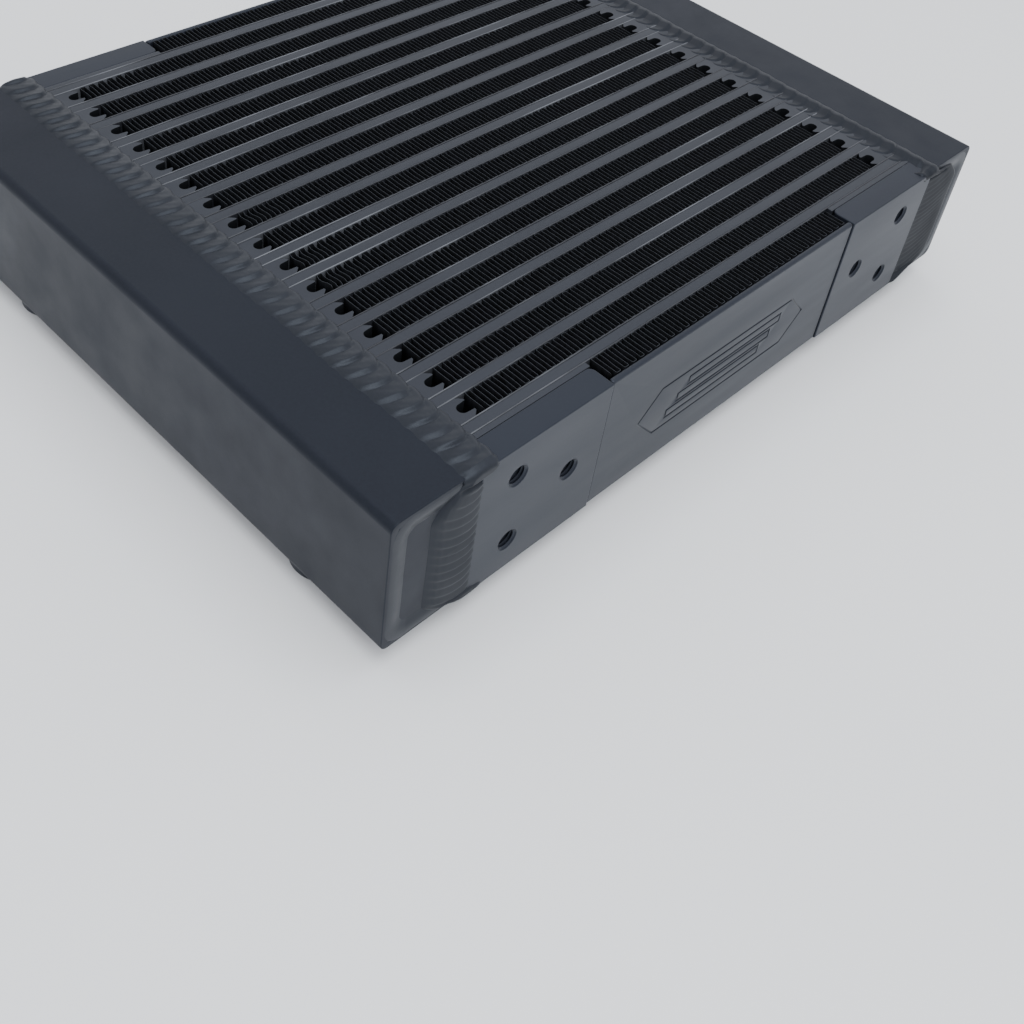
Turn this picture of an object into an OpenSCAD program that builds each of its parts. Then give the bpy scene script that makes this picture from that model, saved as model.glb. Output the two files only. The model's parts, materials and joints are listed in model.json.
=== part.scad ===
// Bar-and-plate liquid cooler: a brazed core of air rows and liquid channels between two
// welded tanks, with drilled corner blocks at both ends of the stack.
// +X runs along the air rows, from tank to tank. +Y runs along the stack of rows.
// +Z is the way the air flows. The two ports point to -Z and the part stands on them.
// Inside the modules, X is counted from the left tank's outer wall, Y from the near end
// and Z from the tank's underside; in_frame() moves that corner to its place.

/* [Overall] */
// Width over both tanks
overall_w = 320; // [280:1:340]
// Thickness of the core and the tanks
core_h = 57; // [52:1:64]

/* [Core stack] */
// Number of air rows between the end blocks
air_rows = 16; // [10:1:16]
// Height of one air row
air_gap = 9.2; // [8:0.1:11]
// Thickness of one liquid channel, between its parting sheets
channel_t = 3.8; // [3:0.1:5]
// Thickness of a parting sheet
sheet_t = 0.5; // [0.4:0.1:0.8]
// Height of the bars that close a liquid channel above and below
liquid_bar_h = 6; // [4:0.5:9]
// Length of the bars that close an air row towards the tanks
air_bar_len = 15.6; // [14:0.1:20]
// Radius of the pocket in the end of an air bar
pocket_r = 2; // [1.5:0.1:2.4]
// Depth of that pocket
pocket_depth = 4.9; // [4:0.1:6]

/* [Fins] */
// Distance from one air fin wall to the next
fin_pitch = 1.95; // [1.8:0.05:3]
// Thickness of the fin sheet
fin_t = 0.2; // [0.1:0.05:0.3]
// Gap between an air bar and the first fin wall
fin_gap = 0.9; // [0.5:0.1:2]
// Distance from one turbulator wall to the next
turbulator_pitch = 2.5; // [2:0.1:4]

/* [Tanks] */
// Depth of a tank, from its outer wall to the core
tank_depth = 34; // [32:1:44]
// Wall thickness of a tank
tank_wall = 3; // [2.5:0.5:4]
// Outer bend radius of a tank
tank_bend_r = 3.2; // [2:0.1:5]
// How far a tank's end stands back from the corner blocks
tank_inset = 1.1; // [0.5:0.1:2]
// Thickness of an end cap
cap_t = 3; // [2:0.5:5]
// How far an end cap sits inside the rim of its tank
cap_inset = 0.7; // [0.3:0.1:1.5]
// Thickness of the baffle that makes the liquid turn back
baffle_t = 3; // [2:0.5:5]

/* [Ports] */
// Outer diameter of a port boss
port_od = 25; // [22:0.5:26]
// Height of a port boss below its tank
port_h = 9.5; // [8:0.5:16]
// Bore of a port, the minor diameter of an M18 x 1.5 thread
port_bore_d = 16.4; // [12:0.1:18]
// Distance of a port from the tank's outer wall
port_x = 17; // [17:0.5:18]
// Distance of each port from its end of the stack
port_y = 46; // [30:1:60]

/* [Corner blocks] */
// Length of a block along the air rows
block_len = 57.2; // [54:0.1:70]
// Depth of a block
block_d = 10.4; // [9:0.1:12]
// Thickness of the strip behind a block
strip_t = 2.2; // [2:0.1:3]
// Rounding of a block's inner corner
block_r = 2.5; // [1:0.1:3]
// Pitch circle of the three threaded holes
bolt_circle_d = 34; // [30:0.5:36]
// Hole bore, the tapping size of an M8 thread
bolt_hole_d = 6.8; // [5:0.1:7.6]
// Diameter of the countersink at a hole's mouth
bolt_sink_d = 8.2; // [8:0.1:10]

/* [End plates] */
// Thickness of an end plate
plate_t = 2.4; // [2:0.1:3]
// How far a plate stands back from the corner blocks
plate_recess = 0.5; // [0.3:0.1:1.5]
// Length of the engraved badge
badge_l = 98; // [60:1:105]
// Height of the engraved badge
badge_h = 22; // [14:1:30]
// How far the badge sits below the middle of its plate
badge_drop = 3; // [0:0.5:8]
// Width of an engraved line
badge_line = 0.9; // [0.5:0.1:1.5]
// Depth of an engraved line
badge_depth = 0.3; // [0.2:0.1:0.8]

/* [Welds] */
// Width of the bead between tank and core
weld_w = 14.5; // [10:0.5:16]
// Height of that bead above the tank
weld_h = 1.8; // [1:0.1:3]
// Distance of its middle line from the tank's outer wall
weld_x = 34.5; // [34:0.5:36]
// Width of the same bead on a tank's end
end_weld_w = 19; // [14:0.5:20]
// How far it stands proud of a corner block
end_weld_proud = 0.6; // [0.2:0.1:1.5]
// Leg of the bead around a port boss
port_weld_leg = 2.2; // [1.5:0.1:2.4]
// Width of the bead around an end cap
cap_weld_w = 1.6; // [1:0.1:3]

/* [Hidden] */
$fn = 64;
eps = 0.01;
channel_pitch = channel_t + 2 * sheet_t;
row_pitch = channel_pitch + air_gap;
channels = air_rows + 1;
end_stack = block_d + strip_t;
overall_d = 2 * end_stack + channels * channel_pitch + air_rows * air_gap;
core_l = overall_w - 2 * tank_depth;
block_end = tank_depth + block_len;
plate_l = overall_w - 2 * block_end;
air_bar_end = tank_depth + air_bar_len;
baffle_row = ceil((air_rows + 1) / 2);
end_weld_x = 26.5;
end_weld_from = end_weld_x - end_weld_w / 2 + 1;
coat = [0.25, 0.26, 0.29];
core_coat = [0.31, 0.32, 0.36];
fin_coat = [0.06, 0.07, 0.09];
bare = [0.72, 0.73, 0.75];

function two(i) = str(i < 10 ? "0" : "", i);
function fin_name(i) = str("air_fin_", two(i));
function bars_name(i) = str("liquid_bars_", two(i));
// Middle of air row i and of liquid channel i, both counted from the near end
function row_y(i) = end_stack + channel_pitch + air_gap / 2 + (i - 1) * row_pitch;
function channel_y(i) = end_stack + channel_pitch / 2 + (i - 1) * row_pitch;

// ---- placing ----

// From the near left bottom corner of the tank to the part's own frame
module in_frame() translate([-overall_w / 2, -overall_d / 2, port_h]) children();

// The same thing at the left or the right, and at the near or the far end
module at_corner(right, far)
    translate([right ? overall_w : 0, far ? overall_d : 0, 0])
        mirror([right ? 1 : 0, 0, 0]) mirror([0, far ? 1 : 0, 0]) children();

// An outline in X and Z, extruded from one Y to another
module along_y(from, to) translate([0, to, 0]) rotate([90, 0, 0]) linear_extrude(to - from) children();

// ---- outlines ----

// One folded strip: walls across its height, joined by crests at alternate ends
function fold_left(n, pitch, height, t) = [for (i = [0:n - 1]) each (i % 2 == 0
    ? [[i * pitch - t / 2, i == 0 ? 0 : t], [i * pitch - t / 2, height]]
    : [[i * pitch + t / 2, height], [i * pitch + t / 2, i == n - 1 ? 0 : t]])];
function fold_right(n, pitch, height, t) = [for (i = [n - 1:-1:0]) each (i % 2 == 0
    ? [[i * pitch + t / 2, i == n - 1 ? height : height - t], [i * pitch + t / 2, 0]]
    : [[i * pitch - t / 2, 0], [i * pitch - t / 2, height - t]])];
module folded_strip(length, pitch, height, t) {
    walls = floor((length - t) / pitch) + 1;
    slack = length - t - (walls - 1) * pitch;
    translate([slack / 2 + t / 2, 0])
        polygon(concat(fold_left(walls, pitch, height, t), fold_right(walls, pitch, height, t)));
}

// A low crowned bead of a given width and height, its base on the X axis
module bead_outline(width, height) {
    steps = 8;
    polygon([for (k = [0:steps]) let (u = 1 - 2 * k / steps) [u * width / 2, height * (1 - u * u)]]);
}

// ---- core ----

module air_fin(i)
    color(fin_coat) in_frame()
        translate([air_bar_end + fin_gap, row_y(i) - air_gap / 2, 0])
            linear_extrude(core_h)
                folded_strip(overall_w - 2 * (air_bar_end + fin_gap), fin_pitch, air_gap, fin_t);

// The partly covered fins behind an end plate, between two corner blocks
module outer_fin(far) {
    from_y = plate_recess + plate_t;
    from_x = block_end + fin_gap;
    color(fin_coat) in_frame() at_corner(false, far)
        translate([from_x, from_y, 0])
            linear_extrude(core_h)
                folded_strip(overall_w - 2 * from_x, fin_pitch, end_stack - from_y, fin_t);
}

// Fishtail bar: bevelled at its free end, with a round-nosed pocket between two prongs
module air_bar_outline() {
    bevel_l = 2;
    prong_half = 2.9;
    mouth_half = pocket_r + 0.2;
    pocket_nose_x = air_bar_len - pocket_depth + pocket_r;
    difference() {
        polygon([[0, -air_gap / 2], [air_bar_len - bevel_l, -air_gap / 2], [air_bar_len, -prong_half],
            [air_bar_len, prong_half], [air_bar_len - bevel_l, air_gap / 2], [0, air_gap / 2]]);
        translate([pocket_nose_x, 0]) circle(pocket_r);
        polygon([[pocket_nose_x, -pocket_r], [air_bar_len + eps, -mouth_half],
            [air_bar_len + eps, mouth_half], [pocket_nose_x, pocket_r]]);
    }
}

module air_end_bars(right)
    color(core_coat) in_frame()
        for (i = [1:air_rows])
            translate([right ? overall_w - tank_depth : tank_depth, row_y(i), 0])
                mirror([right ? 1 : 0, 0, 0]) linear_extrude(core_h) air_bar_outline();

module parting_sheets()
    color(core_coat) in_frame()
        for (i = [1:channels], side = [-1, 1])
            translate([tank_depth, channel_y(i) + side * (channel_t + sheet_t) / 2 - sheet_t / 2, 0])
                cube([core_l, sheet_t, core_h]);

module liquid_bars(i)
    color(core_coat) in_frame()
        for (z = [0, core_h - liquid_bar_h])
            translate([tank_depth, channel_y(i) - channel_t / 2, z])
                cube([core_l, channel_t, liquid_bar_h]);

// Folded strips inside the liquid channels; their walls run along X
module turbulators() {
    end_clear = 2;
    room = core_h - 2 * liquid_bar_h;
    color(bare) in_frame()
        for (i = [1:channels])
            translate([tank_depth + end_clear, channel_y(i) - channel_t / 2, liquid_bar_h + room])
                rotate([0, 90, 0]) linear_extrude(core_l - 2 * end_clear)
                    folded_strip(room, turbulator_pitch, channel_t, fin_t);
}

// ---- ends of the stack ----

module corner_block(right, far) {
    hole_angles = [0, 120, 240];
    centre_x = 25;
    sink_l = (bolt_sink_d - bolt_hole_d) / 2;
    color(coat) in_frame() at_corner(right, far) translate([tank_depth, 0, 0])
        difference() {
            linear_extrude(core_h) {
                square([block_len, block_d - block_r]);
                square([block_len - block_r, block_d]);
                translate([block_len - block_r, block_d - block_r]) circle(block_r);
            }
            for (a = hole_angles)
                translate([centre_x + bolt_circle_d / 2 * cos(a), 0, core_h / 2 + bolt_circle_d / 2 * sin(a)])
                    rotate([-90, 0, 0]) {
                        translate([0, 0, -eps]) cylinder(h = block_d + 2 * eps, d = bolt_hole_d);
                        translate([0, 0, -eps])
                            cylinder(h = sink_l + eps, d1 = bolt_sink_d + 2 * eps, d2 = bolt_hole_d);
                    }
        }
}

module backing_strips()
    color(core_coat) in_frame()
        for (right = [false, true], far = [false, true])
            at_corner(right, far) translate([tank_depth, block_d, 0])
                cube([block_len, strip_t, core_h]);

// Long six-sided outline, used for the engraved badge
module badge_outline(inset) {
    slanted = 1.2;
    half_l = badge_l / 2 - inset * slanted;
    half_h = badge_h / 2 - inset;
    polygon([[-half_l, 0], [-half_l + half_h, half_h], [half_l - half_h, half_h],
        [half_l, 0], [half_l - half_h, -half_h], [-half_l + half_h, -half_h]]);
}

// A generic air-and-liquid badge: a six-sided frame around three long bars, no lettering
module badge() {
    bar_l = badge_l * 0.56;
    bar_step = badge_h * 0.23;
    bar_h = badge_h * 0.12;
    difference() {
        badge_outline(0);
        badge_outline(badge_line);
    }
    for (k = [-1, 0, 1])
        translate([k * bar_step, k * bar_step])
            difference() {
                square([bar_l, bar_h + 2 * badge_line], center = true);
                square([bar_l - 2 * badge_line, bar_h], center = true);
            }
}

module end_plate(far) {
    back_r = 1.8;
    color(coat) in_frame() at_corner(false, far)
        translate([block_end, plate_recess, 0]) difference() {
            linear_extrude(core_h) intersection() {
                square([plate_l, plate_t]);
                union() {
                    square([plate_l, plate_t - back_r]);
                    translate([back_r, 0]) square([plate_l - 2 * back_r, plate_t]);
                    for (x = [back_r, plate_l - back_r]) translate([x, plate_t - back_r]) circle(back_r);
                }
            }
            translate([plate_l / 2, badge_depth, core_h / 2 - badge_drop])
                rotate([90, 0, 0]) linear_extrude(badge_depth + eps) badge();
        }
}

// ---- tanks ----

module tank_outline()
    difference() {
        union() {
            translate([tank_bend_r, 0]) square([tank_depth - tank_bend_r, core_h]);
            translate([0, tank_bend_r]) square([tank_depth, core_h - 2 * tank_bend_r]);
            for (z = [tank_bend_r, core_h - tank_bend_r]) translate([tank_bend_r, z]) circle(tank_bend_r);
        }
        translate([tank_wall, tank_wall]) square([tank_depth, core_h - 2 * tank_wall]);
    }

module port_axes() for (far = [false, true]) at_corner(false, far) translate([port_x, port_y, 0]) children();

module tank_shell(right)
    color(coat) in_frame()
        difference() {
            at_corner(right, false) along_y(tank_inset, overall_d - tank_inset) tank_outline();
            if (!right) port_axes() translate([0, 0, -eps]) cylinder(h = tank_wall + 2 * eps, d = port_bore_d);
        }

module tank_cap(right, far)
    color(coat) in_frame() at_corner(right, far)
        translate([tank_wall, tank_inset + cap_inset, tank_wall])
            cube([tank_depth - tank_wall, cap_t, core_h - 2 * tank_wall]);

module tank_baffle()
    color(bare) in_frame()
        translate([tank_wall, row_y(baffle_row) - baffle_t / 2, tank_wall])
            cube([tank_depth - tank_wall, baffle_t, core_h - 2 * tank_wall]);

module port_boss(far) {
    mouth = 1;
    color(coat) in_frame() at_corner(false, far) translate([port_x, port_y, -port_h])
        difference() {
            cylinder(h = port_h, d = port_od);
            translate([0, 0, -eps]) cylinder(h = port_h + 2 * eps, d = port_bore_d);
            translate([0, 0, -eps])
                cylinder(h = mouth + eps, d1 = port_bore_d + 2 * (mouth + eps), d2 = port_bore_d);
        }
}

// ---- welds ----

// The bead on a tank's end: it fills the step up to the corner block and the cap's recess
module end_bead_outline() {
    difference() {
        translate([end_weld_x, tank_inset]) mirror([0, 1])
            bead_outline(end_weld_w, tank_inset + end_weld_proud);
        translate([tank_depth, 0]) square([block_len, block_d]);
    }
}

// The whole loop around one end of the core; it stops short of the port bosses
module core_weld(right) {
    lump = weld_h / 2;
    bite = 0.15;
    color(coat) in_frame()
        difference() {
            at_corner(right, false) {
                for (upper = [false, true])
                    translate([weld_x, 0, upper ? core_h : 0]) mirror([0, 0, upper ? 0 : 1])
                        along_y(-end_weld_proud, overall_d + end_weld_proud) bead_outline(weld_w, weld_h);
                for (far = [false, true])
                    at_corner(false, far) {
                        translate([0, 0, -lump]) linear_extrude(core_h + 2 * lump) end_bead_outline();
                        translate([end_weld_from, tank_inset - bite, tank_wall])
                            cube([tank_depth - end_weld_from, cap_inset + bite, core_h - 2 * tank_wall]);
                    }
            }
            if (!right) port_axes() translate([0, 0, -port_h])
                cylinder(h = port_h, r = port_od / 2 + port_weld_leg);
        }
}

module cap_welds() {
    to_x = end_weld_from;
    color(coat) in_frame()
        for (right = [false, true], far = [false, true])
            at_corner(right, far) translate([0, tank_inset, 0]) mirror([0, 1, 0])
                along_y(-cap_inset, 0)
                    difference() {
                        translate([tank_wall, tank_wall])
                            square([to_x - tank_wall, core_h - 2 * tank_wall]);
                        translate([tank_wall + cap_weld_w, tank_wall + cap_weld_w])
                            square([to_x, core_h - 2 * (tank_wall + cap_weld_w)]);
                    }
}

module port_welds() {
    belly = port_weld_leg * 0.6;
    color(coat) in_frame()
        port_axes() rotate_extrude()
            translate([port_od / 2, 0])
                polygon([[0, 0], [port_weld_leg, 0], [belly, -belly], [0, -port_weld_leg]]);
}

// ---- nodes ----

corner_block(false, false);  // corner_block_near_left
corner_block(true, false);  // corner_block_near_right
corner_block(false, true);  // corner_block_far_left
corner_block(true, true);  // corner_block_far_right
backing_strips();
end_plate(false);  // end_plate_near
end_plate(true);  // end_plate_far
outer_fin(false);  // outer_fin_near
outer_fin(true);  // outer_fin_far
for (i = [1:air_rows]) air_fin(i);
air_end_bars(false);  // air_end_bars_left
air_end_bars(true);  // air_end_bars_right
parting_sheets();
for (i = [1:channels]) liquid_bars(i);
turbulators();
tank_shell(false);  // tank_shell_left
tank_shell(true);  // tank_shell_right
tank_cap(false, false);  // tank_cap_near_left
tank_cap(true, false);  // tank_cap_near_right
tank_cap(false, true);  // tank_cap_far_left
tank_cap(true, true);  // tank_cap_far_right
tank_baffle();
port_boss(false);  // port_boss_near
port_boss(true);  // port_boss_far
core_weld(false);  // core_weld_left
core_weld(true);  // core_weld_right
cap_welds();
port_welds();
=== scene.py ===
"""Looks of a welded bar-and-plate liquid cooler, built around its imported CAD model.

Everything is in metres, in the CAD frame: +X from tank to tank, +Y along the stack of air rows
towards the far end, +Z up. Sizes that a CAD node holds are read from its box.
"""
import json
import math
import random

import bmesh
import bpy
from mathutils import Matrix, Vector


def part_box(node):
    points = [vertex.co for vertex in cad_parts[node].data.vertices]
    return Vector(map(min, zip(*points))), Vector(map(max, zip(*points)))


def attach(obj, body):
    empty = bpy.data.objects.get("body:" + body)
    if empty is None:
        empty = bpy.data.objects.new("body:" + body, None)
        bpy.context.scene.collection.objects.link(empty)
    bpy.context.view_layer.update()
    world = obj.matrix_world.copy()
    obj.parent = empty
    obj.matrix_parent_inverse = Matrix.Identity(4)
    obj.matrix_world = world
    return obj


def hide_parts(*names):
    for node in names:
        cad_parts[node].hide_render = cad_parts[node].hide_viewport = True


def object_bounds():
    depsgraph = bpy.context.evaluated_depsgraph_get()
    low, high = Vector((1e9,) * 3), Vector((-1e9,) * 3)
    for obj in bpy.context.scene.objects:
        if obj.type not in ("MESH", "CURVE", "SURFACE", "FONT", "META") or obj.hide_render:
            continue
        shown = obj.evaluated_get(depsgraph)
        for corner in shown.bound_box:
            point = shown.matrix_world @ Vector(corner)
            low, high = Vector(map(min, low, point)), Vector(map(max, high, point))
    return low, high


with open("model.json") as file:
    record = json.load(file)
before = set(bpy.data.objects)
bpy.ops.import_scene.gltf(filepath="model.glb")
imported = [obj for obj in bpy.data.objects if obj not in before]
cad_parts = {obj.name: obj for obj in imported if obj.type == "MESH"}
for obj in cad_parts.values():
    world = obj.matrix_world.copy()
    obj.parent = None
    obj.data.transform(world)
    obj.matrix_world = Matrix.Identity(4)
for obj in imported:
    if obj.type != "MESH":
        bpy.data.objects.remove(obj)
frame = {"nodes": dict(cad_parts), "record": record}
NODES = frame["nodes"]
cad_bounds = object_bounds()
MM = 0.001
BODY = "root"

# ---- sizes taken from the CAD nodes ----

shell_lo, shell_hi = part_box("tank_shell_left")
block_lo, block_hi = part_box("corner_block_near_left")
cap_lo, cap_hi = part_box("tank_cap_near_left")
weld_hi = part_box("core_weld_left")[1]
boss_lo, boss_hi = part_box("port_boss_near")
TOP, BOTTOM = shell_hi.z, shell_lo.z
OUTER_X = shell_lo.x
NEAR_Y = block_lo.y
TANK_Y = shell_lo.y
TANK_WALL = 3 * MM


def mount(name):
    """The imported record's mount of that name."""
    return next(m for m in frame["record"]["mounts"] if m["name"] == name)


# ---- materials ----


def set_range(node, from_low, from_high, low, high):
    """Sets a Map Range node's four numbers."""
    for key, value in zip(("From Min", "From Max", "To Min", "To Max"), (from_low, from_high, low, high)):
        node.inputs[key].default_value = value


class Graph:
    """A short way to add and join shader nodes."""

    def __init__(self, name):
        self.material = bpy.data.materials.new(name)
        self.material.use_nodes = True
        self.tree = self.material.node_tree
        self.shader = self.tree.nodes["Principled BSDF"]
        self.place = self.add("ShaderNodeTexCoord").outputs["Object"]

    def add(self, kind, links=None, **settings):
        node = self.tree.nodes.new(kind)
        for key, value in settings.items():
            if key in node.inputs:
                node.inputs[key].default_value = value
            else:
                setattr(node, key, value)
        for socket, source in (links or {}).items():
            self.join(source, node.inputs[socket])
        return node

    def join(self, source, target):
        self.tree.links.new(source, target)

    def noise(self, scale, detail=3.0, stretch=None):
        """Noise of a given number of cells to the metre, stretched along an axis if asked."""
        place = self.place
        if stretch:
            place = self.add("ShaderNodeMapping", {"Vector": place}, Scale=stretch).outputs["Vector"]
        return self.add("ShaderNodeTexNoise", {"Vector": place}, Scale=scale, Detail=detail).outputs["Fac"]

    def facing(self, axis):
        """How squarely the surface looks along an axis, up or down it, from 0 to 1."""
        normal = self.add("ShaderNodeNewGeometry").outputs["Normal"]
        part = self.add("ShaderNodeSeparateXYZ", {"Vector": normal}).outputs[axis]
        return self.add("ShaderNodeMath", {0: part}, operation="ABSOLUTE").outputs[0]

    def ramp(self, source, low, high, from_low=0.3, from_high=0.7):
        """The source mapped to a range of numbers."""
        node = self.add("ShaderNodeMapRange", {"Value": source})
        set_range(node, from_low, from_high, low, high)
        return node.outputs["Result"]

    def mix(self, factor, a, b):
        """Two colours mixed by a factor."""
        node = self.add("ShaderNodeMix", data_type="RGBA")
        self.join(factor, node.inputs["Factor"])
        for socket, value in ((node.inputs[6], a), (node.inputs[7], b)):
            if isinstance(value, tuple):
                socket.default_value = (*value, 1)
            else:
                self.join(value, socket)
        return node.outputs[2]

    def bump(self, *layers):
        """Layers of (height, strength, distance), one over the other."""
        normal = None
        for height, strength, distance in layers:
            node = self.add("ShaderNodeBump", {"Height": height}, Strength=strength, Distance=distance)
            if normal:
                self.join(normal, node.inputs["Normal"])
            normal = node.outputs["Normal"]
        self.join(normal, self.shader.inputs["Normal"])


COAT_TINT = (0.78, 0.87, 1, 1)


def scaled(colour, k):
    """A colour made k times as light."""
    return tuple(c * k for c in colour)


def satin_coat(name, colour, roughness, specular, grain=0.25, brush=None, patches=0.16, dull_and_end_shade=0.0):
    """Satin black coating: fine grain, soft patches of tone, faint rubbed marks.

    A brush stretches the marks along an axis; the dulling amount makes the end faces rougher, and paints them
    darker as painted shade.
    """
    g = Graph(name)
    cloud = g.noise(14, 4)
    fine = g.noise(900, 2)
    tone = g.mix(g.ramp(cloud, 0, 1), scaled(colour, 1 - patches), scaled(colour, 1 + patches))
    tone = g.mix(g.ramp(fine, 0, 0.5), tone, scaled(colour, 1.3))
    rub = g.noise(60, 5, brush or (1, 1, 1))
    rough = g.ramp(rub, roughness - 0.05, roughness + 0.07)
    if dull_and_end_shade:
        level = g.facing("Y")
        # Painted shade: the end faces, those looking along Y, get a darker colour.
        tone = g.mix(g.ramp(level, 0, 1, 0.5, 0.95), tone, scaled(colour, 1 - 1.2 * dull_and_end_shade))
        extra = g.ramp(level, 0, dull_and_end_shade, 0.5, 0.95)
        rough = g.add("ShaderNodeMath", {0: rough, 1: extra}, operation="ADD").outputs[0]
    g.join(tone, g.shader.inputs["Base Color"])
    g.join(rough, g.shader.inputs["Roughness"])
    g.shader.inputs["Specular IOR Level"].default_value = specular
    g.shader.inputs["Specular Tint"].default_value = COAT_TINT
    layers = [(g.noise(1500, 2), grain, 0.03 * MM), (g.noise(45, 2), 0.12, 0.2 * MM)]
    if brush:
        layers.append((g.noise(500, 2, brush), 0.15, 0.02 * MM))
    g.bump(*layers)
    return g.material


def fin_coat():
    """Matt black sheet with fine rolled lines; its cut edges, facing up or down, are painted lighter as a
    highlight, and its walls are its own black deepened as painted shade.
    """
    g = Graph("fin_black_painted_edge_light")
    grain = g.noise(700, 2, (1, 1, 0.1))
    # Walls: the sheet's own black, deepened to near-black as painted shade between the folds.
    wall = g.mix(g.ramp(grain, 0, 1), (0.0012, 0.0014, 0.0018), (0.004, 0.0045, 0.006))
    # Painted highlight: the faces that look up or down, the cut edges, get a lighter colour.
    edge = g.ramp(g.facing("Z"), 0, 1, 0.75, 0.95)
    g.join(g.mix(edge, wall, (0.045, 0.049, 0.058)), g.shader.inputs["Base Color"])
    g.join(g.ramp(grain, 0.5, 0.65), g.shader.inputs["Roughness"])
    g.shader.inputs["Specular IOR Level"].default_value = 0.06
    g.bump((grain, 0.3, 0.03 * MM))
    return g.material


def pocket_shade_coat():
    """Satin coat on the faces that look up or down; the walls of the pockets are painted near-black and
    rougher, as painted shade.
    """
    g = Graph("air_bar_coat_painted_pocket_shade")
    grain = g.noise(900, 2)
    top = g.mix(g.ramp(g.noise(60, 4), 0, 1), (0.019, 0.0205, 0.026), (0.027, 0.029, 0.036))
    level = g.ramp(g.facing("Z"), 0, 1, 0.6, 0.9)
    # Painted shade: the pocket walls get a near-black colour instead of the coat's.
    g.join(g.mix(level, (0.0015, 0.0016, 0.002), top), g.shader.inputs["Base Color"])
    g.join(g.ramp(level, 0.8, 0.4, 0, 1), g.shader.inputs["Roughness"])
    g.shader.inputs["Specular IOR Level"].default_value = 0.3
    g.shader.inputs["Specular Tint"].default_value = COAT_TINT
    g.bump((grain, 0.25, 0.03 * MM))
    return g.material


def bare_metal():
    """Mill-finish aluminium for what the coating never reaches."""
    g = Graph("bare_aluminium")
    lines = g.noise(300, 3, (0.08, 1, 1))
    g.join(g.mix(g.ramp(lines, 0, 1), (0.55, 0.56, 0.58), (0.72, 0.73, 0.75)), g.shader.inputs["Base Color"])
    g.join(g.ramp(lines, 0.28, 0.45), g.shader.inputs["Roughness"])
    g.shader.inputs["Metallic"].default_value = 1.0
    g.bump((lines, 0.15, 0.03 * MM))
    return g.material


def floor_paint():
    """Plain pale studio floor."""
    g = Graph("studio_floor")
    tone = g.mix(g.ramp(g.noise(2, 2), 0, 1), (0.845, 0.855, 0.875), (0.875, 0.885, 0.9))
    g.join(tone, g.shader.inputs["Base Color"])
    g.join(g.ramp(g.noise(6, 2), 0.75, 0.85), g.shader.inputs["Roughness"])
    return g.material


def sheet_edge_highlight():
    """Edges of thin sheets, painted light in stretches as a painted highlight."""
    g = Graph("sheet_edge_highlight")
    coat = g.mix(g.ramp(g.noise(300, 3), 0, 1), (0.019, 0.0205, 0.026), (0.03, 0.032, 0.039))
    # Painted highlight: light stretches along the sheet edges.
    painted_highlight_mask = g.ramp(g.noise(38, 4, (0.5, 1, 1)), 0, 1, 0.5, 0.68)
    g.join(g.mix(painted_highlight_mask, coat, (0.125, 0.132, 0.148)), g.shader.inputs["Base Color"])
    g.join(g.ramp(g.noise(200, 3), 0.32, 0.45), g.shader.inputs["Roughness"])
    g.shader.inputs["Specular IOR Level"].default_value = 0.4
    g.bump((g.noise(900, 2), 0.25, 0.03 * MM))
    return g.material


BLUE_BLACK = (0.0105, 0.0120, 0.0172)
CORE_BLACK = (0.021, 0.0225, 0.028)
WELD_BLACK = (0.0145, 0.0160, 0.0205)
SHADED_WELD_BLACK = (0.0115, 0.0128, 0.0168)
PAINT = {
    "coated_sheet": satin_coat("sheet_coat", BLUE_BLACK, 0.42, 0.18),
    "coated_machined": satin_coat("machined_coat", scaled(BLUE_BLACK, 1.2), 0.38, 0.30, 0.2, (0.15, 1, 1)),
    "coated_weld": satin_coat("weld_coat", WELD_BLACK, 0.36, 0.24, 0.3, patches=0.25),
    "coated_core": satin_coat("core_coat", CORE_BLACK, 0.38, 0.32, 0.3, (0.2, 1, 1), 0.2),
    "coated_fin": fin_coat(),
    "bare_aluminium": bare_metal(),
}
# Both bead paints darken their end faces as painted shade; the right bead's darker colour is a painted-shade
# copy of the weld coat, for its side that faces away from the light.
BEAD_PAINT = {
    "left": satin_coat("bead_coat_left_end_shaded", WELD_BLACK, 0.36, 0.24, 0.3, patches=0.25, dull_and_end_shade=0.12),
    "right": satin_coat("bead_coat_right_shaded", SHADED_WELD_BLACK, 0.38, 0.18, 0.3, patches=0.25, dull_and_end_shade=0.22),
}


# ---- helpers for pieces ----


def finish_piece(name, bm, slot_name, replaces, smooth=True, paint=None):
    """Turns a bmesh into a piece that rides on the body, in its slot's paint."""
    bmesh.ops.recalc_face_normals(bm, faces=bm.faces)
    mesh = bpy.data.meshes.new(name)
    bm.to_mesh(mesh)
    bm.free()
    mesh.polygons.foreach_set("use_smooth", [smooth] * len(mesh.polygons))
    piece = bpy.data.objects.new(name, mesh)
    bpy.context.scene.collection.objects.link(piece)
    piece.data.materials.append(paint or PAINT[slot_name])
    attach(piece, BODY)
    if replaces:
        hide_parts(*replaces)
    return piece


def ease_edges(piece, width, segments, angle):
    """Rounds every edge that is sharper than an angle in degrees."""
    bevel = piece.modifiers.new("edges", "BEVEL")
    bevel.width = width
    bevel.segments = segments
    bevel.limit_method = "ANGLE"
    bevel.angle_limit = math.radians(angle)


def soften(piece, width):
    """Joins a CAD mesh's faces and gives it small rounded edges that catch the light."""
    weld = piece.modifiers.new("join", "WELD")
    weld.merge_threshold = 0.002 * MM
    ease_edges(piece, width, 2, 32)
    even_normals(piece)


def even_normals(piece):
    """Keeps large flat faces flat to the eye beside small rounded ones."""
    even = piece.modifiers.new("even", "WEIGHTED_NORMAL")
    even.weight = 90
    even.keep_sharp = True


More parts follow.
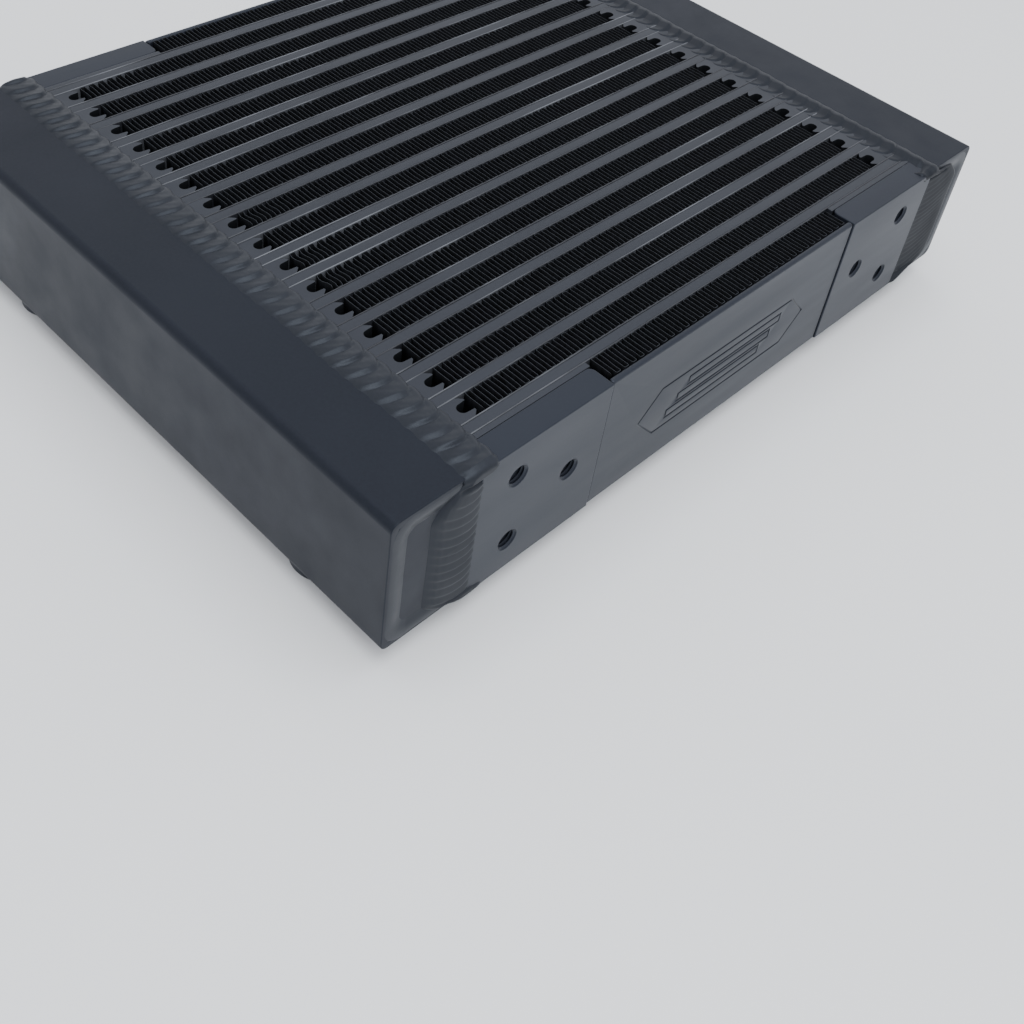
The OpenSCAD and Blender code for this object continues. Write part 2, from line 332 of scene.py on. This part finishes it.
def apply_modifiers(piece):
    """Makes what the modifiers show the piece's own mesh."""
    depsgraph = bpy.context.evaluated_depsgraph_get()
    mesh = bpy.data.meshes.new_from_object(piece.evaluated_get(depsgraph))
    piece.modifiers.clear()
    piece.data = mesh


def carve(piece, tool, operation, slot_name, place=Matrix.Identity(4)):
    """Joins a piece with a second solid by a boolean, then shades the result."""
    data = bpy.data.meshes.new("carving_tool")
    tool.to_mesh(data)
    tool.free()
    shape = bpy.data.objects.new("carving_tool", data)
    shape.matrix_world = place
    bpy.context.scene.collection.objects.link(shape)
    cut = piece.modifiers.new("carving", "BOOLEAN")
    cut.object = shape
    cut.operation = operation
    cut.solver = "EXACT"
    apply_modifiers(piece)
    bpy.data.objects.remove(shape)
    piece.data.materials.clear()
    piece.data.materials.append(PAINT[slot_name])
    piece.data.shade_smooth()
    piece.data.set_sharp_from_angle(angle=math.radians(35))
    even_normals(piece)


def grid_skin(bm, rows, close_rows=False, close_columns=False):
    """Quads between rows of points; either direction may close on itself."""
    verts = [[bm.verts.new(p) for p in row] for row in rows]
    across = len(verts[0])
    for i in range(len(verts) - (0 if close_rows else 1)):
        a, b = verts[i], verts[(i + 1) % len(verts)]
        for j in range(across - (0 if close_columns else 1)):
            k = (j + 1) % across
            bm.faces.new((a[j], a[k], b[k], b[j]))
    return verts


def mirrored(point, right, far):
    """A point of the near left corner, carried to the right side or the far end."""
    return Vector((-point[0] if right else point[0], -point[1] if far else point[1], point[2]))


def side_name(right):
    """The name of the tank's side."""
    return "right" if right else "left"


def end_name(far):
    """The name of the core's end."""
    return "far" if far else "near"


# ---- CAD nodes that keep their shape ----

EDGE_WIDTHS = {
    "tank_shell": 0.35 * MM,
    "tank_cap": 0.2 * MM,
    "backing_strips": 0.2 * MM,
    "liquid_bars": 0.25 * MM,
    "air_end_bars": 0,
    "tank_baffle": 0.2 * MM,
    "turbulators": 0,
}
CARRIED = {s["node"]: s["material_slot"] for s in frame["record"]["subparts"]}


def carry_over():
    """Paints the CAD nodes that stay and rounds their edges."""
    # The air end bars' coat paints shade on its pocket walls.
    pocket_shade_paint = pocket_shade_coat()
    for node, slot_name in CARRIED.items():
        start = next((k for k in EDGE_WIDTHS if node.startswith(k)), None)
        if start is None:
            continue
        piece = NODES[node]
        piece.data.materials.clear()
        piece.data.materials.append(pocket_shade_paint if start == "air_end_bars" else PAINT[slot_name])
        if EDGE_WIDTHS[start]:
            piece.data.polygons.foreach_set("use_smooth", [True] * len(piece.data.polygons))
            soften(piece, EDGE_WIDTHS[start])


# ---- fins ----

FIN_PITCH = 1.95 * MM
FIN_SHEET = 0.22 * MM
CREST_R = 0.5 * MM
WALL_STEPS = 5
CREST_STEPS = 4
LEAN = 0.06 * MM
BOW = 0.05 * MM
# How high up the strip, and how much of its sway there is its own and not shared by every row.
FIN_LEVELS = [(0, 1), (0.08, 0.7), (0.5, 0.5), (0.92, 0.7), (1, 1)]
BENT_ROWS = ("air_fin_09", "air_fin_07", "air_fin_06")
BENT_WALLS = 10


def fin_path(x0, x1, y0, y1, rng, bent):
    """Points of one folded strip in plan; bent gives some walls an extra bow."""
    walls = int((x1 - x0 - FIN_SHEET) / FIN_PITCH + 1e-6) + 1
    start = (x0 + x1 - (walls - 1) * FIN_PITCH) / 2
    low, high = y0 + FIN_SHEET / 2, y1 - FIN_SHEET / 2
    lean = 0.0
    path = []
    for i in range(walls):
        lean = 0.7 * lean + rng.gauss(0, LEAN)
        bow = rng.gauss(0, BOW) + bent.get(i, 0)
        x = start + i * FIN_PITCH
        ends = (low, high) if i % 2 == 0 else (high, low)
        turn = 1 if ends[1] > ends[0] else -1
        for k in range(WALL_STEPS + 1):
            v = k / WALL_STEPS
            y = ends[0] + turn * CREST_R + v * (ends[1] - ends[0] - 2 * turn * CREST_R)
            share = v if turn > 0 else 1 - v
            sway = lean * math.sin(math.pi * share) + bow * math.sin(2 * math.pi * share)
            path.append((x + sway, y))
        if i < walls - 1:
            for k in range(1, CREST_STEPS):
                a = math.pi / 2 * k / CREST_STEPS
                path.append((x + CREST_R * (1 - math.cos(a)), ends[1] - turn * CREST_R * (1 - math.sin(a))))
            for k in range(1, CREST_STEPS):
                a = math.pi / 2 * k / CREST_STEPS
                path.append((x + FIN_PITCH - CREST_R * (1 - math.sin(a)),
                             ends[1] - turn * CREST_R * (1 - math.cos(a))))
    return path


def fin_piece(node, seed, bent):
    """One row's fins: a thin folded sheet, uneven as real ones are."""
    low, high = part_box(node)
    rng = random.Random(seed)
    path = fin_path(low.x, high.x, low.y, high.y, rng, bent)
    shared = fin_path(low.x, high.x, low.y, high.y, random.Random(0), {})
    rows = []
    for level, own in FIN_LEVELS:
        z = low.z + level * (high.z - low.z)
        rows.append([(s[0] + (p[0] - s[0]) * own, p[1], z) for p, s in zip(path, shared)])
    bm = bmesh.new()
    grid_skin(bm, rows)
    piece = finish_piece("fins_" + node, bm, "coated_fin", [node])
    sheet = piece.modifiers.new("sheet", "SOLIDIFY")
    sheet.thickness = FIN_SHEET
    sheet.offset = 0
    apply_modifiers(piece)
    return piece


def all_fins():
    """Every row's fins; some rows are bent at their left end."""
    rows = [n for n in CARRIED if n.startswith("air_fin_")] + ["outer_fin_near", "outer_fin_far"]
    for seed, node in enumerate(rows):
        rng = random.Random(700 + seed)
        bent = {}
        if node in BENT_ROWS:
            bent = {k: rng.uniform(0.35, 0.7) * MM * (1 - k / (BENT_WALLS + 1)) for k in range(BENT_WALLS)}
        fin_piece(node, 40 + seed, bent)


# ---- parting sheets ----


def parting_sheets():
    """The thin sheets between air rows and channels; their edges stand a little proud and wander."""
    low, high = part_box("parting_sheets")
    channels = sorted(n for n in CARRIED if n.startswith("liquid_bars_"))
    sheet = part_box(channels[0])[0].y - low.y
    spans = []
    for node in channels:
        bar_lo, bar_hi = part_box(node)
        spans += [(bar_lo.y - sheet, bar_lo.y), (bar_hi.y, bar_hi.y + sheet)]
    rng = random.Random(9)
    steps = 90
    chamfer = 0.1 * MM
    bm = bmesh.new()
    for y0, y1 in spans:
        slow, quick, side = (rng.uniform(0, 6.28) for _ in range(3))
        rows = []
        for k in range(steps + 1):
            v = k / steps
            x = low.x + (high.x - low.x) * v
            end = min(1, 8 * v, 8 * (1 - v))
            proud = (0.13 + 0.05 * math.sin(9 * v + slow) + 0.04 * math.sin(31 * v + quick)) * MM
            sway = 0.06 * MM * math.sin(14 * v + side) * end
            top, bottom = high.z + proud, low.z - proud
            rows.append([(x, y0 + sway, bottom + chamfer), (x, y0 + chamfer + sway, bottom),
                         (x, y1 - chamfer + sway, bottom), (x, y1 + sway, bottom + chamfer),
                         (x, y1 + sway, top - chamfer), (x, y1 - chamfer + sway, top),
                         (x, y0 + chamfer + sway, top), (x, y0 + sway, top - chamfer)])
        verts = grid_skin(bm, rows, close_columns=True)
        bm.faces.new(verts[0])
        bm.faces.new(verts[-1])
    finish_piece("sheet_edges", bm, "coated_core", ["parting_sheets"], smooth=False, paint=sheet_edge_highlight())


# ---- weld between tank and core ----

BEAD_FROM, BEAD_TO = weld_hi.x - 14.5 * MM, weld_hi.x
END_TO = OUTER_X + 36.6 * MM
RIPPLE_TOP = 6.3 * MM
CORNER_R = 2.2 * MM
LOOP_STEP = 0.36 * MM
BEAD_COLUMNS = 31
ROOT_DEPTH = 2.1 * MM
LOWER_SHARE = 0.8
# The highest the bead may stand over the core's top and over its ends, just inside the CAD bead.
TOP_LIMIT, END_LIMIT = 1.78 * MM, 0.57 * MM

# Each bead's heights in mm over the core, from its tank side (0) to its core side (1), on the top and
# on the ends, with how its ripples run. The right bead is lower, hollower and wider at the ends.
BEADS = {
    "left": {
        "seed": 17,
        "top": [(0, -0.3), (0.05, 0.0), (0.13, 0.45), (0.28, 0.92), (0.42, 1.18), (0.56, 1.24), (0.7, 1.12),
                (0.82, 0.86), (0.91, 0.52), (0.965, 0.15), (1, -0.3)],
        "end": [(0, -2.0), (0.03, -1.7), (0.1, -0.95), (0.2, -0.3), (0.34, 0.02), (0.54, 0.2), (0.74, 0.18),
                (0.88, 0.04), (1, -0.4)],
        "end_from": OUTER_X + 16 * MM,
        "top_ripple": 0.4,
        "end_ripple": 0.2,
        "end_pitch": 3.9 * MM,
    },
    "right": {
        "seed": 31,
        "top": [(0, -0.3), (0.05, 0.15), (0.13, 0.72), (0.22, 1.12), (0.32, 1.2), (0.45, 0.8), (0.6, 0.28),
                (0.72, 0.08), (0.85, 0.05), (0.93, 0.0), (1, -0.4)],
        "end": [(0, -0.85), (0.08, -0.45), (0.2, -0.42), (0.4, -0.65), (0.6, -0.9), (0.76, -1.1),
                (0.88, -1.15), (0.94, -0.8), (1, -0.4)],
        "end_from": OUTER_X + 6.5 * MM,
        "top_ripple": 0.34,
        "end_ripple": 0.05,
        "end_pitch": 2.7 * MM,
    },
}


def loop_point(s):
    """Place and outward direction in the YZ plane, s metres round the core from its near top corner."""
    half_y, half_z = -NEAR_Y, (TOP - BOTTOM) / 2
    mid_z = (TOP + BOTTOM) / 2
    r = CORNER_R
    sides = [
        ((-half_y + r, half_z), (1, 0), (0, 1), 2 * (half_y - r)),
        ((half_y, half_z - r), (0, -1), (1, 0), 2 * (half_z - r)),
        ((half_y - r, -half_z), (-1, 0), (0, -1), 2 * (half_y - r)),
        ((-half_y, -half_z + r), (0, 1), (-1, 0), 2 * (half_z - r)),
    ]
    arc = math.pi / 2 * r
    for (start, along, out, length) in sides:
        if s <= length:
            return (start[0] + along[0] * s, mid_z + start[1] + along[1] * s), out
        s -= length
        end = (start[0] + along[0] * length, start[1] + along[1] * length)
        if s <= arc:
            a = s / r
            centre = (end[0] - out[0] * r, end[1] - out[1] * r)
            n = (out[0] * math.cos(a) + along[0] * math.sin(a), out[1] * math.cos(a) + along[1] * math.sin(a))
            return (centre[0] + n[0] * r, mid_z + centre[1] + n[1] * r), n
        s -= arc
    return loop_point(0)


def loop_length():
    """The way once round the core."""
    r = CORNER_R
    return 4 * (-NEAR_Y - r) + 4 * ((TOP - BOTTOM) / 2 - r) + 2 * math.pi * r


def smooth_step(u):
    """Rises smoothly from 0 to 1 as u does."""
    u = min(max(u, 0), 1)
    return u * u * (3 - 2 * u)


def along_table(table, u):
    """The value between the rows of a table, in straight stretches."""
    for (u0, v0), (u1, v1) in zip(table, table[1:]):
        if u <= u1:
            return v0 + (v1 - v0) * ((u - u0) / (u1 - u0))
    return table[-1][1]


def blend(a, b, share):
    """A value between a and b."""
    return a + (b - a) * share


def hump(x, middle, width):
    """A smooth hump, 1 at its middle."""
    return math.exp(-(((x - middle) / width) ** 2))


def saw(p):
    """One ripple: a short steep rise, then a slow fall, from -1 to 1."""
    f = p % 1
    rise = 0.28
    if f < rise:
        return 2 * smooth_step(f / rise) - 1
    return 1 - 2 * ((f - rise) / (1 - rise)) ** 1.25


def lead(u, end):
    """How far a ripple runs ahead across the bead: it lags at the toe and along the core side."""
    if u < 0.6:
        top = 3.2 * (1 - ((u - 0.6) / 0.6) ** 2)
    else:
        top = 3.2 - 6.5 * ((u - 0.6) / 0.4) ** 3
    if u < 0.72:
        face = 6.2 * (1 - ((u - 0.72) / 0.72) ** 2)
    else:
        face = 6.2 - 4 * ((u - 0.72) / 0.28) ** 2
    return blend(top, face, end) * MM


def ripple_strength(u):
    """Ripples fade out at the toe and are faint on the core side."""
    toe = smooth_step(u / 0.3)
    core_side = 1 - 0.6 * smooth_step((u - 0.78) / 0.16)
    brink = 1 - smooth_step((u - 0.94) / 0.06)
    return toe * core_side * brink


def turned_corner(u, depth):
    """Height in mm where the bead turns down over an upper corner: a lip, then a groove."""
    core_part = smooth_step((u - 0.1) / 0.3)
    groove = hump(depth, 4.2 * MM, 0.8 * MM) * core_part * (1 - smooth_step((u - 0.9) / 0.1))
    lip = hump(depth, 2.4 * MM, 0.9 * MM) * core_part
    return 0.5 * lip - 1.1 * groove


def hollow_corner(u, corner):
    """Height in mm near the right bead's upper corners: a hollow, then a lump at the corner."""
    hollow = hump(corner, 7.5 * MM, 3 * MM) * smooth_step((u - 0.35) / 0.3)
    lump = hump(corner, 1.5 * MM, 2.2 * MM) * smooth_step((u - 0.3) / 0.3)
    return (0.55 * lump - 0.6 * hollow) * (1 - smooth_step((u - 0.88) / 0.12))


def height_limit(out):
    """The most the bead may stand off the core where it faces along out."""
    sideways = abs(out[0])
    return min(TOP_LIMIT, (END_LIMIT + CORNER_R * (1 - sideways)) / max(sideways, 0.01))


def core_weld(right):
    """The ripple-faced bead all the way round one end of the core."""
    bead = BEADS[side_name(right)]
    rng = random.Random(bead["seed"])
    waves = [(rng.uniform(16, 50) * MM, rng.uniform(0, 6.28), rng.uniform(0.25, 0.6) * MM) for _ in range(5)]
    sizes = [rng.uniform(0.6, 1.25) for _ in range(400)]
    length = loop_length()
    count = int(length / LOOP_STEP)
    rows = []
    turn = 0.0
    for i in range(count):
        s = length * i / count
        (y, z), out = loop_point(s)
        depth = min(TOP - z, z - BOTTOM)
        corner = -NEAR_Y - abs(y)
        upper = z > (TOP + BOTTOM) / 2
        at_end = corner < CORNER_R + 1e-9
        end = smooth_step((depth - 1.0 * MM) / (2.6 * MM)) if at_end else 0.0
        drift = sum(a * math.sin(s / w * math.pi + f) for w, f, a in waves)
        pitch = blend(RIPPLE_TOP, bead["end_pitch"], end)
        turn += (length / count) / pitch
        taper, taper_depth = (10.5 * MM, 13 * MM) if upper else (5 * MM, 7 * MM)
        narrow = taper * (1 - smooth_step(depth / taper_depth))
        low = blend(BEAD_FROM, bead["end_from"] + narrow, end) + 0.3 * drift
        high = blend(BEAD_TO, END_TO, end)
        swing = blend(bead["top_ripple"], bead["end_ripple"], end)
        row = []
        for j in range(BEAD_COLUMNS):
            u = j / (BEAD_COLUMNS - 1)
            phase = turn + (drift + lead(u, end)) / pitch
            strength = ripple_strength(u)
            height = blend(along_table(bead["top"], u), along_table(bead["end"], u), end)
            ripple = swing * saw(phase) * sizes[int(phase) % len(sizes)]
            grain = math.sin(2.3 * math.pi * phase + 7 * u) * math.sin(s / (2.9 * MM) + 9 * u)
            height += (ripple + 0.06 * grain * (1 - end)) * strength
            if right and upper and end == 0:
                height += hollow_corner(u, corner)
            if upper and end > 0:
                height += turned_corner(u, depth)
            if not upper and height > 0:
                height *= LOWER_SHARE
            height = min(height * MM, height_limit(out))
            scallop = math.sin(phase * 2 * math.pi) * (1 - end) * MM
            x = blend(low, high, u)
            x -= 0.2 * scallop * (1 - smooth_step(u / 0.3))
            x += 0.3 * (scallop - (1 - end) * MM) * smooth_step((u - 0.85) / 0.15)
            row.append((x, y + out[0] * height, z + out[1] * height))
        for x in (high - 0.5 * MM, low + 0.5 * MM):
            row.append((x, y - out[0] * ROOT_DEPTH, z - out[1] * ROOT_DEPTH))
        rows.append([mirrored(point, right, False) for point in row])
    bm = bmesh.new()
    grid_skin(bm, rows, close_rows=True, close_columns=True)
    side = side_name(right)
    finish_piece("weld_bead_" + side, bm, "coated_weld", ["core_weld_" + side], paint=BEAD_PAINT[side])


# ---- soft rim round each end cap ----

RIM_R = 8.0 * MM
RIM_INSET = 0.2 * MM
RIM_REACH = 30 * MM
RIM_SUNK = 0.3 * MM
RIM_SIDE_STEPS = 6
RIM_TURN_STEPS = 8
RIM_WALL_STEPS = 12
# Steps in mm out from the rim's line and up from the tank's edge.
RIM_PROFILE = [(2.4, -0.03), (1.8, 0.05), (0.8, 0.13), (-0.3, 0.11), (-1.3, -0.05), (-2.3, -0.3),
               (-3.3, -0.56), (-4.4, -0.73)]


def rim_path():
    """The inner edge of a tank's end in X and Z, from the weld round the outer wall and back."""
    r = RIM_R
    x_in = OUTER_X + TANK_WALL + RIM_INSET
    x_out = OUTER_X + RIM_REACH
    top, low = cap_hi.z - RIM_INSET, cap_lo.z + RIM_INSET
    side, turn, wall = RIM_SIDE_STEPS, RIM_TURN_STEPS, RIM_WALL_STEPS
    path = [((x_out + (x_in + r - x_out) * k / side, top), (0, 1)) for k in range(side)]
    for k in range(turn + 1):
        a = math.pi / 2 * k / turn
        n = (-math.sin(a), math.cos(a))
        path.append(((x_in + r + n[0] * r, top - r + n[1] * r), n))
    path += [((x_in, top - r + (low + r - top + r) * k / wall), (-1, 0)) for k in range(1, wall)]
    for k in range(turn + 1):
        a = math.pi / 2 * k / turn
        n = (-math.cos(a), -math.sin(a))
        path.append(((x_in + r + n[0] * r, low + r + n[1] * r), n))
    path += [((x_in + r + (x_out - x_in - r) * k / side, low), (0, -1)) for k in range(1, side + 1)]
    return path


def cap_rims():
    """The blended weld round each end cap, from the tank's edge down to the cap's face."""
    root_y = cap_lo.y + RIM_SUNK
    root = [(RIM_PROFILE[-1][0], root_y), (RIM_PROFILE[0][0], root_y)]
    outline = [(out, TANK_Y - rise * MM) for out, rise in RIM_PROFILE] + root
    for far in (False, True):
        for right in (False, True):
            rng = random.Random(5 + 2 * far + right)
            rows = []
            for (x, z), n in rim_path():
                wobble = rng.gauss(0, 0.05)
                corner_reach = 1 + 1.25 * abs(n[0] * n[1])
                row = []
                for out, y in outline:
                    d = (out * (corner_reach if out > 0 else 1) + wobble) * MM
                    row.append(mirrored((x + n[0] * d, y, z + n[1] * d), right, far))
                rows.append(row)
            bm = bmesh.new()
            verts = grid_skin(bm, rows, close_columns=True)
            bm.faces.new(verts[0])
            bm.faces.new(verts[-1])
            name = "cap_rim_%s_%s" % (end_name(far), side_name(right))
            rim = finish_piece(name, bm, "coated_weld", ["cap_welds"])
            rim.modifiers.new("round", "SUBSURF").levels = 1


# ---- corner blocks with threaded holes ----

THREAD_PITCH = 1.25 * MM
SINK_R = 4.25 * MM
MAJOR_R = 4.0 * MM
AXIS_R = 0.0001 * MM
BLOCK_CORNER_R = 2.5 * MM
OVERCUT = 0.5 * MM
ARC_STEPS = 8


def lathe(bm, profile, centre, axis_y, segments=48):
    """A closed outline of (radius, distance along the axis), turned about Y or Z."""
    rows = []
    for k in range(segments):
        a = 2 * math.pi * k / segments
        row = []
        for r, d in profile:
            u, v = r * math.cos(a), r * math.sin(a)
            offset = (u, d, v) if axis_y else (u, v, d)
            row.append(tuple(c + o for c, o in zip(centre, offset)))
        rows.append(row)
    grid_skin(bm, rows, close_rows=True, close_columns=True)


def thread_profile(minor, major, sink, length, pitch):
    """Outline of a threaded hole as a solid plug: a light countersink, then one V to each turn."""
    outline = [(AXIS_R, -OVERCUT), (sink + OVERCUT, -OVERCUT), (major, sink - major)]
    d = sink - major + 0.1 * pitch
    while d + pitch < length - 0.2 * MM:
        outline += [(major, d), (minor, d + 0.42 * pitch), (minor, d + 0.55 * pitch)]
        d += pitch
    outline += [(major, d), (minor, d + 0.4 * pitch), (minor, length), (AXIS_R, length)]
    return outline


def corner_block(right, far):
    """A solid bar end with a rounded inner corner and three threaded holes."""
    corner = "%s_%s" % (end_name(far), side_name(right))
    r = BLOCK_CORNER_R
    x0, x1, y0, y1 = block_lo.x, block_hi.x, block_lo.y, block_hi.y
    outline = [(x0, y0), (x1, y0)]
    for k in range(ARC_STEPS + 1):
        a = math.pi / 2 * k / ARC_STEPS
        outline.append((x1 - r * (1 - math.cos(a)), y1 - r * (1 - math.sin(a))))
    outline.append((x0, y1))
    bm = bmesh.new()
    rows = [[mirrored((x, y, z), right, far) for x, y in outline] for z in (block_lo.z, block_hi.z)]
    verts = grid_skin(bm, rows, close_columns=True)
    bm.faces.new(verts[0])
    bm.faces.new(verts[1])
    block = finish_piece("block_" + corner, bm, "coated_machined", ["corner_block_" + corner])
    ease_edges(block, 0.5 * MM, 3, 60)

    pattern = mount("bolts_" + corner)
    ring, hole_r = pattern["dims"]["pcd_mm"] / 2 * MM, pattern["dims"]["hole_r_mm"] * MM
    holes = bmesh.new()
    profile = thread_profile(hole_r, MAJOR_R, SINK_R, y1 - y0 + OVERCUT, THREAD_PITCH)
    if far:
        profile = [(r, -d) for r, d in profile]
    for a in (0, 120, 240):
        turn = math.radians(180 - a if right else a)
        centre = (pattern["pos_m"][0] + ring * math.cos(turn), -y0 if far else y0,
                  pattern["pos_m"][2] + ring * math.sin(turn))
        lathe(holes, profile, centre, True)
    bmesh.ops.remove_doubles(holes, verts=holes.verts, dist=0.001 * MM)
    bmesh.ops.recalc_face_normals(holes, faces=holes.faces)
    carve(block, holes, "DIFFERENCE", "coated_machined")


# ---- plates between the corner blocks ----

PLATE_CORNER_R = 1.0 * MM
PLATE_ARC_STEPS = 5


def end_plate(far):
    """A plate with rounded corners and eased edges, engraved like its CAD node."""
    node = "end_plate_" + end_name(far)
    low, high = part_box(node)
    r = PLATE_CORNER_R
    outline = []
    for cx, cz, first in ((high.x - r, high.z - r, 0), (low.x + r, high.z - r, 1),
                          (low.x + r, low.z + r, 2), (high.x - r, low.z + r, 3)):
        for k in range(PLATE_ARC_STEPS + 1):
            a = math.pi / 2 * (first + k / PLATE_ARC_STEPS)
            outline.append((cx + r * math.cos(a), cz + r * math.sin(a)))
    bm = bmesh.new()
    verts = grid_skin(bm, [[(x, y, z) for x, z in outline] for y in (low.y, high.y)], close_columns=True)
    bm.faces.new(verts[0])
    bm.faces.new(verts[1])
    plate = finish_piece("plate_" + end_name(far), bm, "coated_machined", None)
    ease_edges(plate, 1.0 * MM, 4, 60)
    engraved = bmesh.new()
    engraved.from_mesh(NODES[node].data)
    bmesh.ops.remove_doubles(engraved, verts=engraved.verts, dist=0.002 * MM)
    carve(plate, engraved, "INTERSECT", "coated_machined", NODES[node].matrix_world.copy())
    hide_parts(node)


# ---- ports ----


def port_thread(minor, top, mouth):
    """The threaded wall of a bore, from the top down to a chamfered mouth."""
    pitch, depth = 1.5 * MM, 0.75 * MM
    major = minor + depth
    outline = []
    d = top
    while d - pitch > mouth + 0.3 * MM:
        outline += [(minor, d - 0.2 * pitch), (major, d - 0.55 * pitch), (major, d - 0.65 * pitch)]
        d -= pitch
    return outline + [(minor, d - 0.2 * pitch), (minor, mouth)]


def port(far):
    """A turned boss with a threaded bore, and the weld that holds it to the tank."""
    hole = mount("port_" + end_name(far))
    centre = (hole["pos_m"][0], hole["pos_m"][1], boss_lo.z)
    minor = hole["dims"]["r_mm"] * MM
    outer = (boss_hi.x - boss_lo.x) / 2
    height = boss_hi.z - boss_lo.z
    mouth, edge = 1.0 * MM, 0.6 * MM
    outline = [(minor + mouth, 0), (outer - edge, 0), (outer, edge), (outer, height), (minor, height)]
    outline += port_thread(minor, height, mouth)
    bm = bmesh.new()
    lathe(bm, outline, centre, False, 72)
    name = "port_boss_" + end_name(far)
    boss = finish_piece(name + "_turned", bm, "coated_machined", [name])
    boss.data.set_sharp_from_angle(angle=math.radians(28))
    port_weld(far, centre, outer)


def port_weld(far, centre, outer):
    """The rippled fillet weld between a boss and the tank."""
    ripples, steps, columns = 26, 10, 7
    leg, overlap = 2.2 * MM, 0.1 * MM
    rows = []
    for k in range(ripples * steps):
        a = 2 * math.pi * k / (ripples * steps)
        wave = 0.12 * MM * saw(k / steps)
        row = []
        for j in range(columns):
            u = j / (columns - 1)
            bulge = math.sin(math.pi * u) * (0.45 * MM + wave) * 0.7
            r = min(outer - overlap + (leg + overlap) * (1 - u) + bulge, outer + leg)
            row.append((r, BOTTOM + 0.05 * MM - leg * u - bulge))
        row.append((outer - 0.6 * MM, BOTTOM + 0.4 * MM))
        rows.append([(centre[0] + r * math.cos(a), centre[1] + r * math.sin(a), z) for r, z in row])
    bm = bmesh.new()
    grid_skin(bm, rows, close_rows=True, close_columns=True)
    finish_piece("port_weld_" + end_name(far), bm, "coated_weld", ["port_welds"])


# ---- studio ----


def floor_plane():
    """A pale floor just under the ports."""
    mesh = bpy.data.meshes.new("floor")
    bm = bmesh.new()
    bmesh.ops.create_grid(bm, x_segments=1, y_segments=1, size=4)
    bm.to_mesh(mesh)
    bm.free()
    floor = bpy.data.objects.new("floor", mesh)
    floor.location.z = cad_bounds[0][2] - 0.2 * MM
    mesh.materials.append(floor_paint())
    bpy.context.scene.collection.objects.link(floor)


def area_light(name, place, size, power, colour):
    """A soft square light that points at the part."""
    light = bpy.data.lights.new(name, "AREA")
    light.size = size
    light.energy = power
    light.color = colour
    lamp = bpy.data.objects.new(name, light)
    lamp.location = place
    lamp.rotation_euler = (-Vector(place)).to_track_quat("-Z", "Y").to_euler()
    bpy.context.scene.collection.objects.link(lamp)


def soft_sky():
    """An even pale sky, a little lighter low down and darker on the left."""
    world = bpy.data.worlds.new("studio")
    world.use_nodes = True
    tree = world.node_tree
    sky = tree.nodes["Background"]
    sky.inputs[0].default_value = (0.94, 0.957, 1.0, 1)
    place = tree.nodes.new("ShaderNodeTexCoord")
    axes = tree.nodes.new("ShaderNodeSeparateXYZ")
    tree.links.new(place.outputs["Generated"], axes.inputs[0])
    product = tree.nodes.new("ShaderNodeMath")
    product.operation = "MULTIPLY"
    for k, (axis, values) in enumerate((("Z", (0.4, 0.75, 1.22, 0.93)), ("X", (-0.8, -0.1, 0.45, 1)))):
        part = tree.nodes.new("ShaderNodeMapRange")
        set_range(part, *values)
        tree.links.new(axes.outputs[axis], part.inputs["Value"])
        tree.links.new(part.outputs["Result"], product.inputs[k])
    tree.links.new(product.outputs[0], sky.inputs[1])
    bpy.context.scene.world = world


def photo_camera():
    """The camera at the photograph's place and angle, with its framing as a shift."""
    place = Vector((-0.3247, -0.2873, 0.3403))
    heading, dip, roll = math.radians(51.36), math.radians(40.33), math.radians(8.96)
    level = Vector((math.cos(heading), -math.sin(heading), 0))
    ahead = Vector((math.sin(heading) * math.cos(dip), math.cos(heading) * math.cos(dip), -math.sin(dip)))
    right = level * math.cos(roll) + level.cross(ahead) * math.sin(roll)
    up = right.cross(ahead)
    camera = bpy.data.objects.new("camera", bpy.data.cameras.new("camera"))
    turn = Matrix((right, up, -ahead)).transposed()
    camera.matrix_world = Matrix.Translation(place) @ turn.to_4x4()
    camera.data.lens = 46.12
    camera.data.sensor_width = 36
    camera.data.shift_y = -0.1875
    camera.data.clip_start = 0.01
    bpy.context.scene.collection.objects.link(camera)
    bpy.context.scene.camera = camera


def studio():
    """Pale floor, soft lights and the camera."""
    floor_plane()
    area_light("key", (-0.7, -1.0, 1.7), 1.4, 21, (0.96, 0.98, 1))
    area_light("side", (-1.7, 0.3, 1.1), 1.2, 4, (0.96, 0.98, 1))
    area_light("top", (0, -0.2, 2.1), 1.8, 30, (0.95, 0.975, 1))
    soft_sky()
    photo_camera()


studio()
carry_over()
all_fins()
parting_sheets()
for is_right in (False, True):
    core_weld(is_right)
    for is_far in (False, True):
        corner_block(is_right, is_far)
cap_rims()
for is_far in (False, True):
    end_plate(is_far)
    port(is_far)
